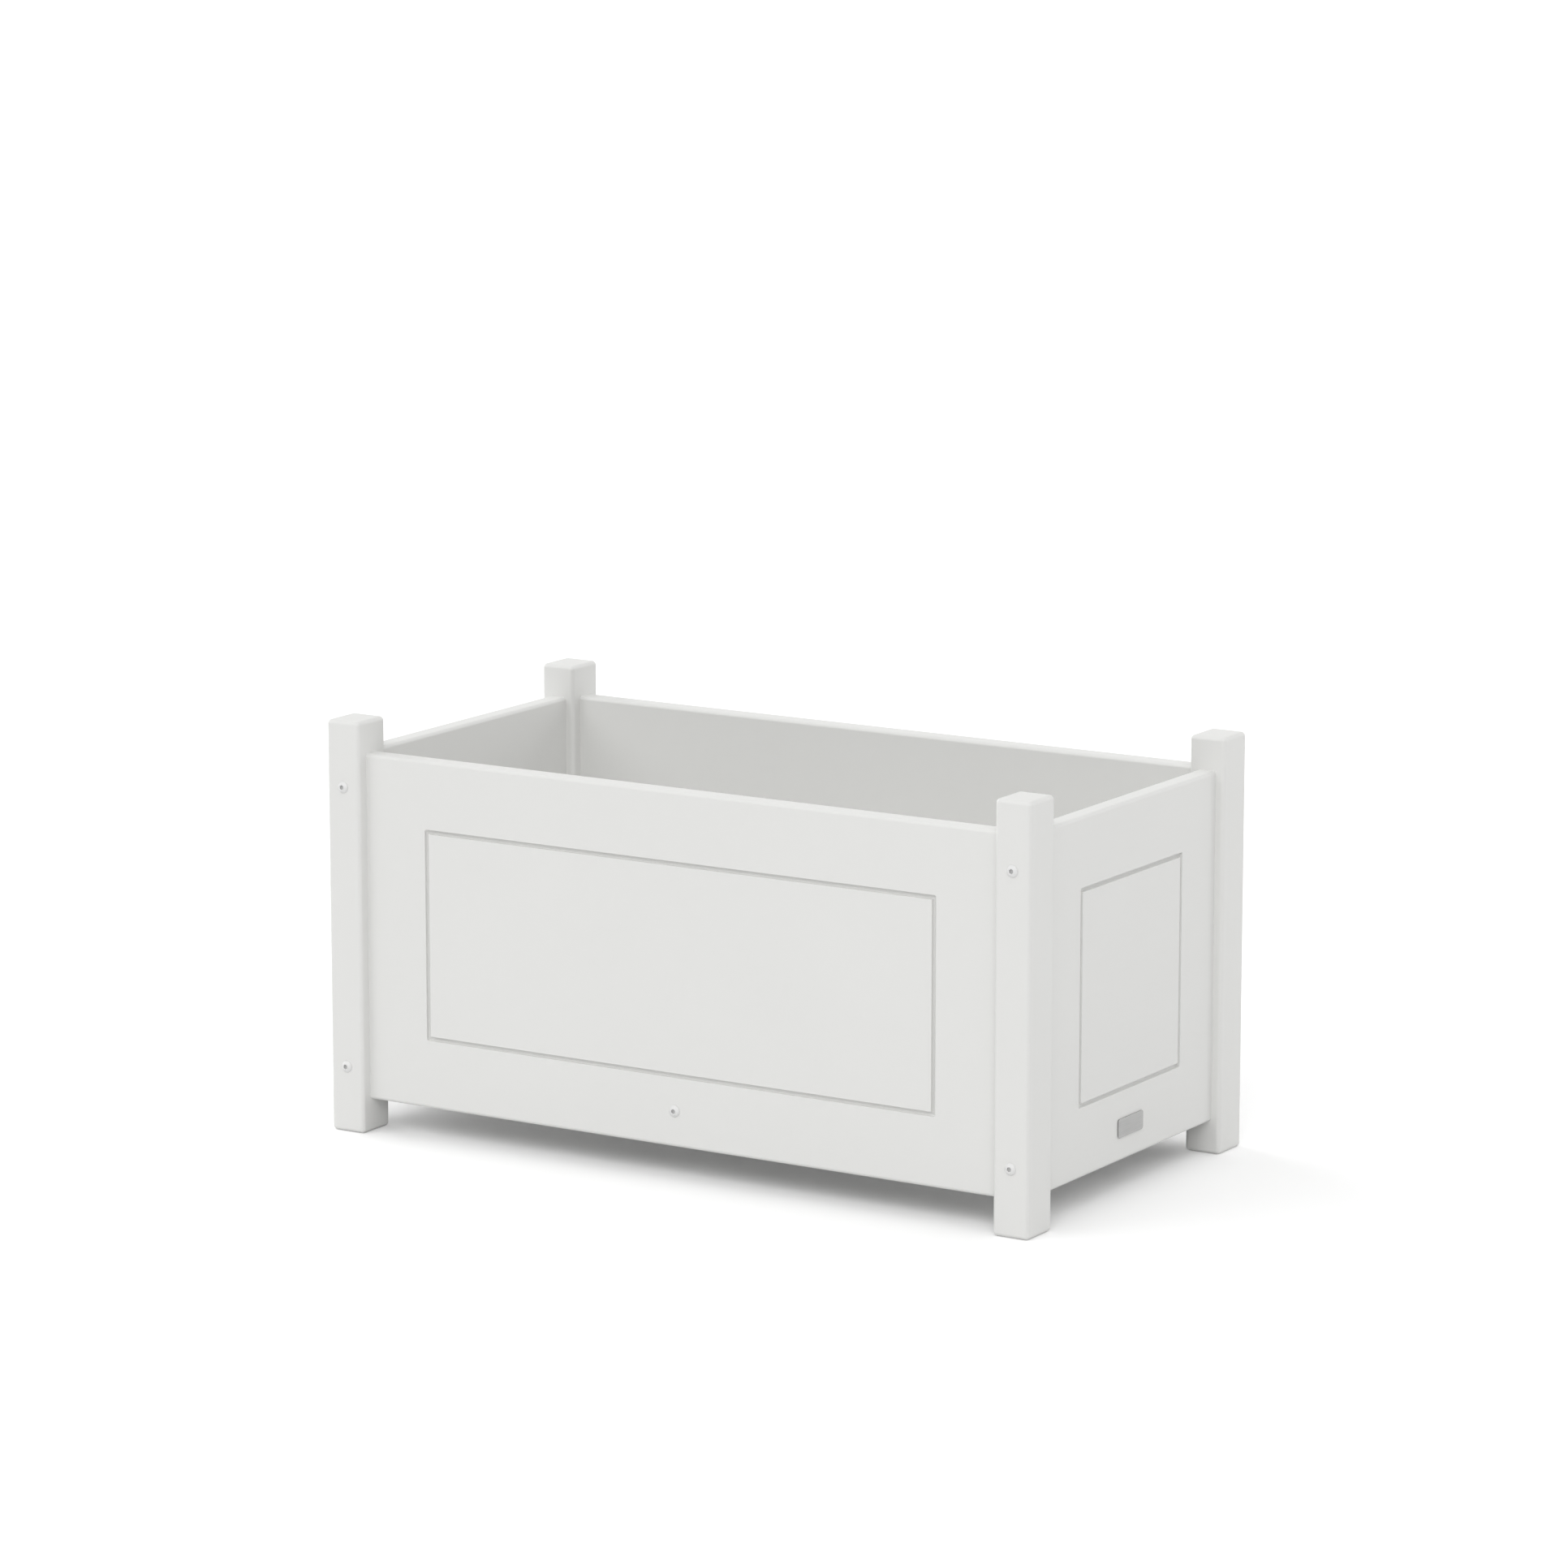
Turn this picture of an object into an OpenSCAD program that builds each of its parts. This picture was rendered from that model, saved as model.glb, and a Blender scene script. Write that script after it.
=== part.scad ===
// Versailles planter of milled boards: corner posts that are also the feet, grooved panels centred between
// them, bolts through the posts into the end panels, and a slatted floor on a brace and two cleats.
// X runs along the length, the front faces -Y, and the origin is on the ground under the middle.

/* [Overall] */
// Length of the planter over its posts
length = 756.4; // [560:0.05:1200]
// Depth of the planter over its posts
depth = 399.6; // [320:0.05:700]
// Height of the posts
height = 393.7; // [300:0.05:700]

/* [Posts] */
// Width of a post, along the length of the planter
post_w = 36.5; // [34:0.05:60]
// Depth of a post, along the depth of the planter
post_d = 42.7; // [36:0.05:60]
// Width cut off both faces by the chamfer along every edge of a post
post_cut = 2.7; // [1:0.1:5]

/* [Panels] */
// Thickness of the panel boards
panel_t = 19.05; // [17:0.05:24]
// Width cut off both faces by the chamfer along the top and bottom edges of a panel
panel_cut = 2.4; // [1:0.1:4]
// Distance from the tops of the posts down to the panels
panel_drop = 31.2; // [10:0.05:70]
// Distance from the ground up to the panels
panel_lift = 31.6; // [10:0.05:60]

/* [Routed groove] */
// Distance from a panel's top and bottom edges in to the middle of the groove
groove_margin = 67; // [50:0.1:100]
// Distance from the posts to the middle of the groove on the long panels
groove_long_margin = 68.1; // [50:0.1:100]
// Distance from the posts to the middle of the groove on the end panels
groove_end_margin = 64.7; // [50:0.1:100]
// Width of the groove
groove_w = 4.2; // [3:0.1:8]
// Depth of the groove
groove_depth = 3.8; // [1:0.1:6]

/* [Bolts] */
// Thread diameter of the bolts
bolt_d = 6.35; // [5:0.05:7]
// Diameter of a bolt's button head
bolt_head_d = 11.1; // [10:0.1:14]
// Height of a bolt's button head
bolt_head_h = 3.35; // [2.8:0.05:4.5]
// Height of the straight rim of the head
bolt_rim_h = 0.6; // [0.3:0.1:1]
// Width across the flats of the hex socket
bolt_socket_w = 3.97; // [3:0.01:5]
// Depth of the hex socket
bolt_socket_depth = 2.1; // [1.5:0.1:2.5]
// How far a bolt reaches into the board that it pulls tight
bolt_reach = 25.4; // [22:0.1:34]
// Clearance round a bolt in its hole
bolt_gap = 0.3; // [0.1:0.05:0.6]
// Distance from the panels' top and bottom edges to the post bolts
bolt_margin = 31.6; // [20:0.05:40]

/* [Threaded inserts] */
// Outer diameter of a threaded insert
insert_d = 11; // [9:0.1:12.5]
// Length of a threaded insert
insert_l = 20; // [12:0.5:24]
// Clearance of an insert in its hole, and of the bolt in the insert
insert_gap = 0.1; // [0.05:0.05:0.2]

/* [Dowels] */
// Diameter of a dowel pin
dowel_d = 9.5; // [6:0.1:12]
// Length of a dowel pin, half of it in the post
dowel_l = 50; // [30:1:60]
// Clearance round a dowel pin
dowel_gap = 0.1; // [0.05:0.05:0.2]
// Distance from the panels' top and bottom edges to the outer dowel pins
dowel_margin = 60; // [52:1:80]

/* [Cross brace] */
// Width of the cross brace
brace_w = 38.1; // [30:0.1:60]
// Height of the cross brace
brace_h = 38.1; // [30:0.1:60]
// Distance from the panels' lower edges up to the middle of the brace
brace_rise = 33.75; // [30:0.05:60]

/* [Floor] */
// Thickness of a cleat
cleat_t = 19.05; // [15:0.05:25]
// Height of a cleat
cleat_h = 38.1; // [30:0.1:45]
// Gap between the ends of a cleat and the posts
cleat_end_gap = 3.2; // [1:0.1:8]
// Thickness of a floor slat
slat_t = 19.05; // [15:0.05:25]
// Drainage gap between the slats, and beside the outer slats
slat_gap = 6.4; // [4:0.1:12]
// Gap between the ends of the slats and the end panels
slat_end_gap = 2; // [0.5:0.1:5]
// Gap between a notched slat and the post in its notch
notch_gap = 1.5; // [0.5:0.1:3]
// Width cut off both faces by the chamfers along the slats, the cleats and the brace
strip_cut = 2.4; // [1:0.1:5]

/* [Screws] */
// Diameter of a screw's shank
screw_d = 4.2; // [3:0.1:5]
// Diameter of a screw's countersunk head
screw_head_d = 8.2; // [7:0.1:10]
// Length of a screw
screw_l = 31; // [26:0.5:34]
// Width of the square drive in a screw's head
screw_drive_w = 2.6; // [2:0.1:3.2]
// Depth of the square drive
screw_drive_depth = 1.6; // [1:0.1:2]
// Clearance round a screw
screw_gap = 0.1; // [0.05:0.05:0.2]
// Distance from a slat's edges to its screws
slat_screw_edge = 18; // [12:0.5:24]
// Distance from the ends of a cleat to its outer screws
cleat_screw_end = 45; // [40:1:70]

/* [Plate] */
// Length of the plate on the right end panel
plate_l = 46; // [30:0.5:70]
// Height of the plate
plate_h = 17.5; // [12:0.5:24]
// Thickness of the plate
plate_t = 0.8; // [0.5:0.1:2]
// Corner radius of the plate
plate_r = 2.5; // [1:0.1:5]
// Distance from the panel's lower edge up to the middle of the plate
plate_rise = 31; // [20:0.5:40]
// Thickness of the adhesive pad behind the plate
pad_t = 0.5; // [0.3:0.1:1]
// How far the pad stays inside the plate's edges
pad_inset = 1.5; // [0.5:0.1:3]

/* [Hidden] */
$fn = 48;

// Sides, as factors for a place on X or Y
LEFT = -1;
RIGHT = 1;
FRONT = -1;
BACK = 1;

// A cutter reaches this far past the face that it opens
over = 1;
// A blind hole is this much deeper than what goes into it
hole_end = 1;

// Outer half sizes, and the posts' inner faces
half_l = length / 2;
half_d = depth / 2;
post_x = half_l - post_w;
post_y = half_d - post_d;

// Middle planes of the posts, which are also those of the panels, and the panels' inner faces
mid_x = half_l - post_w / 2;
mid_y = half_d - post_d / 2;
in_x = mid_x - panel_t / 2;
in_y = mid_y - panel_t / 2;

// The panels' height and the heights of what goes through their ends
panel_h = height - panel_drop - panel_lift;
panel_top = height - panel_drop;
panel_mid = panel_lift + panel_h / 2;
bolt_z = [panel_lift + bolt_margin, panel_top - bolt_margin];
dowel_z = [panel_lift + dowel_margin, panel_mid, panel_top - dowel_margin];

// Length of a bolt under its head, in a post and in the brace
post_bolt_l = post_d + bolt_reach;
brace_bolt_l = panel_t + bolt_reach;
bolt_tip = 1;

// The brace carries the slats level with the cleats
brace_z = panel_lift + brace_rise;
floor_seat = brace_z + brace_h / 2;
floor_top = floor_seat + slat_t;
cleat_z = floor_seat - cleat_h / 2;
cleat_x = in_x - cleat_t / 2;
cleat_l = 2 * (post_y - cleat_end_gap);
cleat_screw_y = [for (s = [-1, 0, 1]) s * (cleat_l / 2 - cleat_screw_end)];

// The slats share the depth between the long panels
SLATS = 4;
slat_w = (2 * in_y - (SLATS + 1) * slat_gap) / SLATS;
slat_l = 2 * (in_x - slat_end_gap);
slat_screw_x = [-cleat_x, 0, cleat_x];
slat_screw_y = slat_w / 2 - slat_screw_edge;

// Screw head and point
screw_rim = 0.3;
screw_cone = (screw_head_d - screw_d) / 2;
screw_point = 4;

function slat_y(i) = -in_y + slat_gap + slat_w / 2 + i * (slat_w + slat_gap);

// A rectangle with round corners, centred
module round_rect(w, h, r) {
    square([w, h - 2 * r], center = true);
    square([w - 2 * r, h], center = true);
    for (x = [-1, 1], y = [-1, 1])
        translate([x * (w / 2 - r), y * (h / 2 - r)]) circle(r);
}

// A rectangle with its corners cut off, centred
module cut_rect(w, h, cut) {
    x = w / 2;
    y = h / 2;
    polygon([[x, cut - y], [x, y - cut], [x - cut, y], [cut - x, y],
        [-x, y - cut], [-x, cut - y], [cut - x, -y], [x - cut, -y]]);
}

// A board with its four long edges chamfered, centred, lying along X
module board(size, cut) {
    rotate([90, 0, 90]) linear_extrude(size.x, center = true) cut_rect(size.y, size.z, cut);
}

// A block with every edge chamfered, centred
module cut_block(size, cut) {
    intersection() {
        linear_extrude(size.z, center = true) cut_rect(size.x, size.y, cut);
        rotate([90, 0, 0]) linear_extrude(size.y, center = true) cut_rect(size.x, size.z, cut);
        board(size, cut);
    }
}

// Puts a child made for the back right corner into any corner
module corner(sx, sy) {
    mirror([sx < 0 ? 1 : 0, 0, 0]) mirror([0, sy < 0 ? 1 : 0, 0]) children();
}

// Turns a child made along +Z to point along +X or +Y
module along_x() {
    rotate([0, 90, 0]) children();
}

module along_y() {
    rotate([-90, 0, 0]) children();
}

// A rectangular groove cutter in the XY plane, cutting down from z = 0, with the round outer corners
// and sharp inner corners that a router bit leaves
module groove_cutter(w, h) {
    translate([0, 0, -groove_depth]) linear_extrude(groove_depth + over) difference() {
        round_rect(w + groove_w, h + groove_w, groove_w / 2);
        square([w - groove_w, h - groove_w], center = true);
    }
}

// A socket bolt with its head above z = 0 and its shank below
module bolt(l) {
    dome_h = bolt_head_h - bolt_rim_h;
    head_r = bolt_head_d / 2;
    ball_r = (head_r * head_r + dome_h * dome_h) / (2 * dome_h);
    difference() {
        rotate_extrude() intersection() {
            translate([0, bolt_head_h - ball_r]) circle(ball_r, $fn = 96);
            square([head_r, bolt_head_h]);
        }
        translate([0, 0, bolt_head_h - bolt_socket_depth])
            cylinder(d = bolt_socket_w / cos(30), h = bolt_socket_depth + over, $fn = 6);
    }
    translate([0, 0, -l + bolt_tip]) cylinder(d = bolt_d, h = l - bolt_tip);
    translate([0, 0, -l]) cylinder(d1 = bolt_d - 2 * bolt_tip, d2 = bolt_d, h = bolt_tip);
}

// A threaded insert, its open end at z = 0 and the rest below
module insert() {
    translate([0, 0, -insert_l]) difference() {
        cylinder(d = insert_d, h = insert_l);
        translate([0, 0, -over]) cylinder(d = bolt_d + 2 * insert_gap, h = insert_l + 2 * over);
    }
}

// The hole for an insert and for the end of the bolt in it, down from z = 0
module insert_hole() {
    translate([0, 0, -insert_l]) cylinder(d = insert_d + 2 * insert_gap, h = insert_l + over);
    translate([0, 0, -bolt_reach - hole_end]) cylinder(d = bolt_d + 2 * bolt_gap, h = bolt_reach + hole_end);
}

// A countersunk screw with the top of its head at z = 0
module screw() {
    difference() {
        union() {
            translate([0, 0, -screw_rim]) cylinder(d = screw_head_d, h = screw_rim);
            translate([0, 0, -screw_rim - screw_cone]) cylinder(d1 = screw_d, d2 = screw_head_d, h = screw_cone);
            translate([0, 0, screw_point - screw_l]) cylinder(d = screw_d, h = screw_l - screw_point - screw_rim);
            translate([0, 0, -screw_l]) cylinder(d1 = 0, d2 = screw_d, h = screw_point);
        }
        translate([0, 0, over / 2 - screw_drive_depth / 2])
            cube([screw_drive_w, screw_drive_w, screw_drive_depth + over], center = true);
    }
}

// The countersunk hole for a screw, down from z = 0
module screw_hole() {
    hole_d = screw_d + 2 * screw_gap;
    top_d = screw_head_d + 2 * screw_gap;
    translate([0, 0, -screw_rim]) cylinder(d = top_d, h = screw_rim + over);
    translate([0, 0, -screw_rim - screw_cone]) cylinder(d1 = hole_d, d2 = top_d, h = screw_cone);
    translate([0, 0, -screw_l - hole_end]) cylinder(d = hole_d, h = screw_l + hole_end);
}

// Places of the fasteners, all shared by the fastener and by its hole
module at_post_bolts() {
    for (z = bolt_z) translate([mid_x, half_d, z]) along_y() children();
}

module at_post_inserts() {
    for (z = bolt_z) translate([mid_x, post_y, z]) along_y() children();
}

module at_dowels() {
    for (z = dowel_z) translate([post_x, mid_y, z]) along_x() children();
}

module at_brace_bolts() {
    for (sy = [FRONT, BACK]) corner(RIGHT, sy) translate([0, in_y + panel_t, brace_z]) along_y() children();
}

module at_brace_inserts() {
    for (sy = [FRONT, BACK]) corner(RIGHT, sy) translate([0, in_y, brace_z]) along_y() children();
}

module at_slat_screws(slat, xs) {
    for (x = xs, s = [-1, 1]) translate([x, slat_y(slat) + s * slat_screw_y, floor_top]) children();
}

module at_all_slat_screws(xs) {
    for (i = [0 : SLATS - 1]) at_slat_screws(i, xs) children();
}

module at_cleat_screws() {
    for (y = cleat_screw_y) translate([in_x - cleat_t, y, cleat_z]) mirror([1, 0, 0]) along_x() children();
}

// Post, drilled for its bolts and its dowels
module post(sx, sy) {
    color("whitesmoke") corner(sx, sy) difference() {
        translate([mid_x, mid_y, height / 2]) cut_block([post_w, post_d, height], post_cut);
        at_post_bolts() translate([0, 0, -post_d - over]) cylinder(d = bolt_d + 2 * bolt_gap, h = post_d + 2 * over);
        at_dowels() translate([0, 0, -over])
            cylinder(d = dowel_d + 2 * dowel_gap, h = dowel_l / 2 + hole_end + over);
    }
}

// Front or back panel: grooved outside, dowelled at both ends, drilled for the brace bolt
module long_panel(sy) {
    color("whitesmoke") corner(RIGHT, sy) difference() {
        translate([0, mid_y, panel_mid]) board([2 * post_x, panel_t, panel_h], panel_cut);
        translate([0, in_y + panel_t, panel_mid]) along_y()
            groove_cutter(2 * (post_x - groove_long_margin), panel_h - 2 * groove_margin);
        for (sx = [LEFT, RIGHT]) corner(sx, BACK) at_dowels()
            translate([0, 0, -dowel_l / 2 - hole_end])
                cylinder(d = dowel_d + 2 * dowel_gap, h = dowel_l / 2 + hole_end + over);
        translate([0, in_y - over, brace_z]) along_y() cylinder(d = bolt_d + 2 * bolt_gap, h = panel_t + 2 * over);
    }
}

// Left or right end panel: grooved outside, with inserts in its ends and pilot holes for the cleat
module end_panel(sx) {
    color("gainsboro") corner(sx, BACK) difference() {
        translate([mid_x, 0, panel_mid]) rotate([0, 0, 90]) board([2 * post_y, panel_t, panel_h], panel_cut);
        translate([in_x + panel_t, 0, panel_mid]) along_x()
            groove_cutter(panel_h - 2 * groove_margin, 2 * (post_y - groove_end_margin));
        for (sy = [FRONT, BACK]) corner(RIGHT, sy) at_post_inserts() insert_hole();
        at_cleat_screws() screw_hole();
    }
}

// Brace between the long panels, with an insert in each end and pilot holes for the slats
module cross_brace() {
    color("gainsboro") difference() {
        translate([0, 0, brace_z]) rotate([0, 0, 90]) board([2 * in_y, brace_w, brace_h], strip_cut);
        at_brace_inserts() insert_hole();
        at_all_slat_screws([0]) screw_hole();
    }
}

// Cleat that carries the ends of the slats
module floor_cleat(sx) {
    color("gainsboro") corner(sx, BACK) difference() {
        translate([cleat_x, 0, cleat_z]) rotate([0, 0, 90]) board([cleat_l, cleat_t, cleat_h], strip_cut);
        at_cleat_screws() screw_hole();
        at_all_slat_screws([cleat_x]) screw_hole();
    }
}

// Floor slat, the outer ones notched round the posts
module floor_slat(slat) {
    notch_x = post_x - notch_gap;
    notch_y = post_y - notch_gap;
    color("whitesmoke") difference() {
        translate([0, slat_y(slat), floor_seat + slat_t / 2]) board([slat_l, slat_w, slat_t], strip_cut);
        at_slat_screws(slat, slat_screw_x) screw_hole();
        for (sx = [LEFT, RIGHT], sy = [FRONT, BACK]) corner(sx, sy)
            translate([notch_x, notch_y, floor_seat - over]) cube([post_w, post_d, slat_t + 2 * over]);
    }
}

module post_bolts(sx, sy) {
    color("white") corner(sx, sy) at_post_bolts() bolt(post_bolt_l);
}

module post_inserts(sx, sy) {
    color("goldenrod") corner(sx, sy) at_post_inserts() insert();
}

module dowels(sx, sy) {
    color("burlywood") corner(sx, sy) at_dowels() cylinder(d = dowel_d, h = dowel_l, center = true);
}

module brace_bolts() {
    color("white") at_brace_bolts() bolt(brace_bolt_l);
}

module brace_inserts() {
    color("goldenrod") at_brace_inserts() insert();
}

module slat_screws(x) {
    color("silver") at_all_slat_screws([x]) screw();
}

module cleat_screws(sx) {
    color("silver") corner(sx, BACK) at_cleat_screws() screw();
}

// A thin sheet with round corners on the right end panel, standing out along +X from the given distance
module on_right_panel(l, h, r, out, t) {
    translate([in_x + panel_t + out, 0, panel_lift + plate_rise]) rotate([90, 0, 90])
        linear_extrude(t) round_rect(l, h, r);
}

module plate() {
    color("darkgray") on_right_panel(plate_l, plate_h, plate_r, pad_t, plate_t);
}

module plate_pad() {
    color("dimgray") on_right_panel(plate_l - 2 * pad_inset, plate_h - 2 * pad_inset, 1, 0, pad_t);
}

post(LEFT, FRONT);  // post_front_left
post(RIGHT, FRONT);  // post_front_right
post(LEFT, BACK);  // post_back_left
post(RIGHT, BACK);  // post_back_right
long_panel(FRONT);  // panel_front
long_panel(BACK);  // panel_back
end_panel(LEFT);  // panel_left
end_panel(RIGHT);  // panel_right
cross_brace();
floor_cleat(LEFT);  // floor_cleat_left
floor_cleat(RIGHT);  // floor_cleat_right
floor_slat(0);  // floor_slat_front
floor_slat(1);  // floor_slat_mid_front
floor_slat(2);  // floor_slat_mid_back
floor_slat(3);  // floor_slat_back
post_bolts(LEFT, FRONT);  // post_bolts_front_left
post_bolts(RIGHT, FRONT);  // post_bolts_front_right
post_bolts(LEFT, BACK);  // post_bolts_back_left
post_bolts(RIGHT, BACK);  // post_bolts_back_right
post_inserts(LEFT, FRONT);  // inserts_front_left
post_inserts(RIGHT, FRONT);  // inserts_front_right
post_inserts(LEFT, BACK);  // inserts_back_left
post_inserts(RIGHT, BACK);  // inserts_back_right
dowels(LEFT, FRONT);  // dowels_front_left
dowels(RIGHT, FRONT);  // dowels_front_right
dowels(LEFT, BACK);  // dowels_back_left
dowels(RIGHT, BACK);  // dowels_back_right
brace_bolts();
brace_inserts();
slat_screws(-cleat_x);  // slat_screws_left
slat_screws(0);  // slat_screws_centre
slat_screws(cleat_x);  // slat_screws_right
cleat_screws(LEFT);  // cleat_screws_left
cleat_screws(RIGHT);  // cleat_screws_right
plate();
plate_pad();
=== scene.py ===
# %% [markdown]
# # Dressing a Versailles planter
#
# This notebook builds the look of a white garden planter round its CAD frame. The planter is a
# box of milled plastic boards: four posts that are also the feet, four grooved panels centred
# between them, and a slatted floor inside. The CAD model says where every piece is. Here each
# piece gets its finished shape and its material, and the last cells light it as a product
# photograph.
#
# Everything is in metres, X runs along the length, the front faces -Y and Z is up.

# %% Load the frame
import math

import bmesh
import bpy
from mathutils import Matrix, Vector


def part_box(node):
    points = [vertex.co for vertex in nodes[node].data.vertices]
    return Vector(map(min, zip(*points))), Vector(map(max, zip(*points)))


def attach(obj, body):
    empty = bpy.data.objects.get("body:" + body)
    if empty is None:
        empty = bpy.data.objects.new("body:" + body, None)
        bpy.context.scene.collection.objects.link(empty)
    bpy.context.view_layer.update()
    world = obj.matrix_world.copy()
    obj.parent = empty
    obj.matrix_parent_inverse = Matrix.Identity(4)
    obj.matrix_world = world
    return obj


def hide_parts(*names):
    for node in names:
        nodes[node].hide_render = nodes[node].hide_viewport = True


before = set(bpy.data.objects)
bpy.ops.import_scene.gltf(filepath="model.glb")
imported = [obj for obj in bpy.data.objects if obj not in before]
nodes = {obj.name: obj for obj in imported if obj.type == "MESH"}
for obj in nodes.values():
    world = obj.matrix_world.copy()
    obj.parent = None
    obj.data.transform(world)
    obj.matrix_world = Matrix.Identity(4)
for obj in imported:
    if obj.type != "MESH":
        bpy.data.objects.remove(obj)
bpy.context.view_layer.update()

# %% [markdown]
# ## The camera
#
# The photograph was taken with a long lens from a little above, off the right front corner. The
# place and the focal length come from solving the photographed edges together with the planter's
# size, so the frame needs no shift. A long lens far away keeps the posts almost parallel, which a
# wide lens close by would not.

# %% Camera
FOCAL_LENGTH, SENSOR_WIDTH = 140.08, 36.0
CAMERA_PLACE = (2.9521, -4.7137, 1.4204)
LOOKING_DOWN, TURNED = 11.011, 32.058
SIGHT = 200.0

camera_data = bpy.data.cameras.new("camera")
camera_data.lens = FOCAL_LENGTH
camera_data.sensor_width = SENSOR_WIDTH
camera_data.clip_end = SIGHT
camera = bpy.data.objects.new("camera", camera_data)
camera.location = CAMERA_PLACE
camera.rotation_euler = (math.radians(90 - LOOKING_DOWN), 0.0, math.radians(TURNED))
bpy.context.scene.collection.objects.link(camera)
bpy.context.scene.camera = camera
print(f"camera {camera.location.length:.2f} m from the middle of the planter's footprint")

# %% [markdown]
# ## Sizes
#
# The sizes are those of the boards, in millimetres, and every place below is worked out from
# them. Writing them once keeps the pieces in step with each other, as a cutting list does in a
# workshop. The CAD boxes are a check on them: `box_error` says how far a finished piece is from
# the node that it stands for.

# %% Sizes of the boards
MM = 0.001
LENGTH, DEPTH, HEIGHT = 756.4, 399.6, 393.7
POST_W, POST_D = 36.5, 42.7
PANEL_T = 19.05
LIFT, DROP = 31.6, 31.2
POST_EASE, PANEL_EASE = 3.9, 3.45
GROOVE_W, GROOVE_DEPTH = 4.2, 3.8
GROOVE_MARGIN, GROOVE_LONG_MARGIN, GROOVE_END_MARGIN = 67.0, 68.1, 64.7
BOLT_MARGIN, DOWEL_MARGIN = 31.6, 60.0
BOLT_REACH = 25.4
BRACE_RISE, BRACE_H = 33.75, 38.1
CLEAT_T, CLEAT_H = 19.05, 38.1
CLEAT_END_GAP, CLEAT_SCREW_MARGIN = 3.2, 45.0
SLATS, SLAT_T, SLAT_GAP = 4, 19.05, 6.4
SLAT_END_GAP, SLAT_SCREW_MARGIN, NOTCH_GAP = 2.0, 18.0, 1.5

post_x = LENGTH / 2 - POST_W
post_y = DEPTH / 2 - POST_D
mid_x = LENGTH / 2 - POST_W / 2
mid_y = DEPTH / 2 - POST_D / 2
in_x = mid_x - PANEL_T / 2
in_y = mid_y - PANEL_T / 2
panel_top = HEIGHT - DROP
panel_h = panel_top - LIFT
panel_mid = LIFT + panel_h / 2
bolt_z = (LIFT + BOLT_MARGIN, panel_top - BOLT_MARGIN)
dowel_z = (LIFT + DOWEL_MARGIN, panel_mid, panel_top - DOWEL_MARGIN)
brace_z = LIFT + BRACE_RISE
floor_seat = brace_z + BRACE_H / 2
floor_top = floor_seat + SLAT_T
cleat_z = floor_seat - CLEAT_H / 2
cleat_x = in_x - CLEAT_T / 2
cleat_screw_y = [side * (post_y - CLEAT_END_GAP - CLEAT_SCREW_MARGIN) for side in (-1, 0, 1)]
print(f"panels {2 * post_x:.2f} and {2 * post_y:.2f} mm long, {panel_h:.2f} mm high")


def box_error(piece, *names):
    """Largest distance in mm between the piece's box and that of the CAD nodes it stands for."""
    corners = [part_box(name) for name in names]
    points = [vertex.co for vertex in piece.data.vertices]
    error = 0.0
    for axis in range(3):
        low = min(lo[axis] for lo, hi in corners) - min(point[axis] for point in points)
        high = max(hi[axis] for lo, hi in corners) - max(point[axis] for point in points)
        error = max(error, abs(low), abs(high))
    return error / MM


# %% [markdown]
# ## Finishes
#
# A finish is a small tree of nodes that ends in one Principled shader. What is the same all over
# is set on the shader's own sockets. What varies, such as the faint grain of the boards, comes
# from procedural noise on Object coordinates, so it sticks to the piece from every side.

# %% Helpers for finishes
NOISE_RANGE = (0.3, 0.7)


def new_finish(name, color, roughness, **settings):
    """A material with its constants on the shader, and the shader for what is added to it."""
    finish = bpy.data.materials.new(name)
    finish.use_nodes = True
    shader = finish.node_tree.nodes["Principled BSDF"]
    shader.inputs["Base Color"].default_value = (*color, 1.0)
    shader.inputs["Roughness"].default_value = roughness
    for socket, value in settings.items():
        shader.inputs[socket.replace("_", " ")].default_value = value
    return finish, shader


def stretched_noise(finish, stretch, scale, detail=3.0):
    """Noise on Object coordinates, drawn out along an axis whose stretch is small."""
    tree = finish.node_tree
    place = tree.nodes.new("ShaderNodeTexCoord")
    mapping = tree.nodes.new("ShaderNodeMapping")
    noise = tree.nodes.new("ShaderNodeTexNoise")
    mapping.inputs["Scale"].default_value = stretch
    noise.inputs["Scale"].default_value = scale
    noise.inputs["Detail"].default_value = detail
    tree.links.new(place.outputs["Object"], mapping.inputs["Vector"])
    tree.links.new(mapping.outputs["Vector"], noise.inputs["Vector"])
    return noise.outputs["Fac"]


def toned(finish, shader, factor, dark, light, limits=NOISE_RANGE):
    """Colours the finish by a ramp between two tones, which it reaches at the limits."""
    ramp = finish.node_tree.nodes.new("ShaderNodeValToRGB")
    for stop, position, tone in zip(ramp.color_ramp.elements, limits, (dark, light)):
        stop.position = position
        stop.color = (*tone, 1.0)
    finish.node_tree.links.new(factor, ramp.inputs["Fac"])
    finish.node_tree.links.new(ramp.outputs["Color"], shader.inputs["Base Color"])


def worn(finish, shader, factor, low, high):
    """Lets the roughness run from low to high with the noise."""
    node = finish.node_tree.nodes.new("ShaderNodeMapRange")
    limits = (*NOISE_RANGE, low, high)
    for socket, value in zip(("From Min", "From Max", "To Min", "To Max"), limits):
        node.inputs[socket].default_value = value
    finish.node_tree.links.new(factor, node.inputs["Value"])
    finish.node_tree.links.new(node.outputs["Result"], shader.inputs["Roughness"])


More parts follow.
